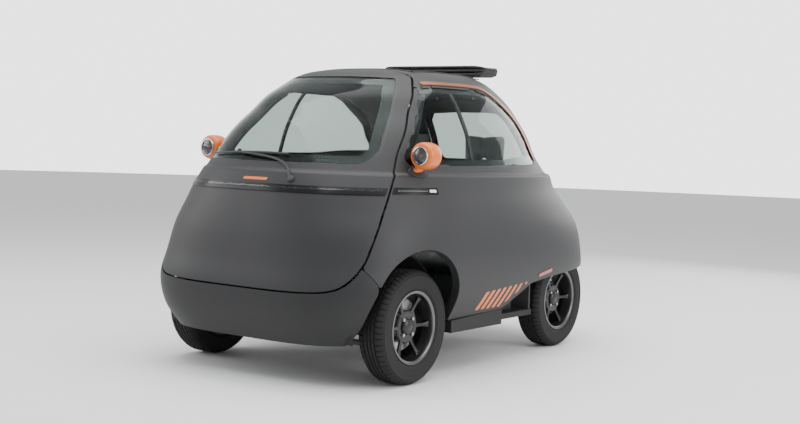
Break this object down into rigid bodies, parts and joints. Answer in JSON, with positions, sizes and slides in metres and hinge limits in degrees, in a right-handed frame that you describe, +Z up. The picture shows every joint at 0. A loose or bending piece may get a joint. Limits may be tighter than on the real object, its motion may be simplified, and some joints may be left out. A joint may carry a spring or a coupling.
{
  "type": "two-seat electric microcar",
  "caption": "Egg-shaped two-seat microcar with a side-hinged front door, tailgate, folding fabric roof, bench seat and exposed front wheels",
  "frame": {"origin": "on the ground, under the middle of the car", "axes": "+X to the car's left, -Y to the nose, +Z up"},
  "size_m": [1.507, 2.5185, 1.53],
  "materials": {
    "body_paint": "satin dark grey",
    "bumper_paint": "satin darker grey",
    "window_glass": "lightly tinted",
    "orange_trim": "gloss orange",
    "black_plastic": "fine grained black",
    "gloss_black": "gloss black light bar",
    "lamp_glass": "clear lens over reflector",
    "tail_lamp": "dark red lens",
    "plate_white": "blank board",
    "roof_fabric": "woven black canvas",
    "seat_fabric": "grey woven cloth",
    "dark_steel": "dark coated steel",
    "motor_casting": "cast",
    "tyre_rubber": "matt",
    "rim_black": "satin black"
  },
  "bodies": {
    "root": {"front_bumper": "bumper_paint", "side_panel_left": "body_paint", "side_panel_right": "body_paint", "roof_panel": "body_paint", "fabric_roof": "roof_fabric", "side_window_left": "window_glass", "side_window_right": "window_glass", "drip_strips": "orange_trim", "lamp_pods": "orange_trim", "lamp_lenses": "lamp_glass", "hinge_pins": "dark_steel", "rear_bumper": "bumper_paint", "rear_plate": "plate_white", "sills": "black_plastic", "floor_pan": "black_plastic", "boot_floor": "black_plastic", "bench_base": "black_plastic", "seat_cushion": "seat_fabric", "seat_back": "seat_fabric", "dashboard": "black_plastic", "steering_column": "black_plastic", "front_suspension": "dark_steel", "rear_axle": "dark_steel", "motor_block": "motor_casting"},
    "door": {"front_door": "body_paint", "windscreen": "window_glass", "front_light_bar": "gloss_black", "wiper": "black_plastic", "door_hinges": "dark_steel"},
    "tailgate": {"rear_hatch": "body_paint", "rear_window": "window_glass", "rear_light_bar": "tail_lamp", "hatch_hinges": "dark_steel"},
    "steering": {"steering_wheel": "black_plastic"},
    "knuckle_l": {"knuckle_left": "dark_steel"},
    "knuckle_r": {"knuckle_right": "dark_steel"},
    "wheel_fl": {"tyre_front_left": "tyre_rubber", "rim_front_left": "rim_black"},
    "wheel_fr": {"tyre_front_right": "tyre_rubber", "rim_front_right": "rim_black"},
    "wheel_rl": {"tyre_rear_left": "tyre_rubber", "rim_rear_left": "rim_black"},
    "wheel_rr": {"tyre_rear_right": "tyre_rubber", "rim_rear_right": "rim_black"}
  },
  "joints": [
    {"name": "front_door_hinge", "type": "hinge", "parent": "root", "child": "door", "pos_m": [0.62, -0.85, 0.791], "axis": [0, 0, 1], "range_deg": [0, 80]},
    {"name": "tailgate_hinge", "type": "hinge", "parent": "root", "child": "tailgate", "pos_m": [0, 0.56, 1.418], "axis": [1, 0, 0], "range_deg": [0, 75]},
    {"name": "steer_left", "type": "hinge", "parent": "root", "child": "knuckle_l", "pos_m": [0.4905, -0.75, 0.2665], "axis": [0, 0, 1], "range_deg": [-28, 28]},
    {"name": "steering_wheel_turn", "type": "hinge", "parent": "root", "child": "steering", "pos_m": [0.285, -0.4, 1.01], "axis": [0, 0.9135, 0.4067], "range_deg": [-450, 450]},
    {"name": "steer_right", "type": "hinge", "parent": "root", "child": "knuckle_r", "pos_m": [-0.4905, -0.75, 0.2665], "axis": [0, 0, 1], "range_deg": [-28, 28]},
    {"name": "wheel_spin_fl", "type": "hinge", "parent": "knuckle_l", "child": "wheel_fl", "pos_m": [0.6005, -0.75, 0.2665], "axis": [1, 0, 0], "continuous": true},
    {"name": "wheel_spin_fr", "type": "hinge", "parent": "knuckle_r", "child": "wheel_fr", "pos_m": [-0.6005, -0.75, 0.2665], "axis": [1, 0, 0], "continuous": true},
    {"name": "wheel_spin_rl", "type": "hinge", "parent": "root", "child": "wheel_rl", "pos_m": [0.5055, 0.816, 0.2665], "axis": [1, 0, 0], "continuous": true},
    {"name": "wheel_spin_rr", "type": "hinge", "parent": "root", "child": "wheel_rr", "pos_m": [-0.5055, 0.816, 0.2665], "axis": [1, 0, 0], "continuous": true}
  ],
  "couplings": [
    {"joint": "steering_wheel_turn", "follows": "steer_left", "ratio": 16},
    {"joint": "steer_right", "follows": "steer_left", "ratio": 1}
  ]
}
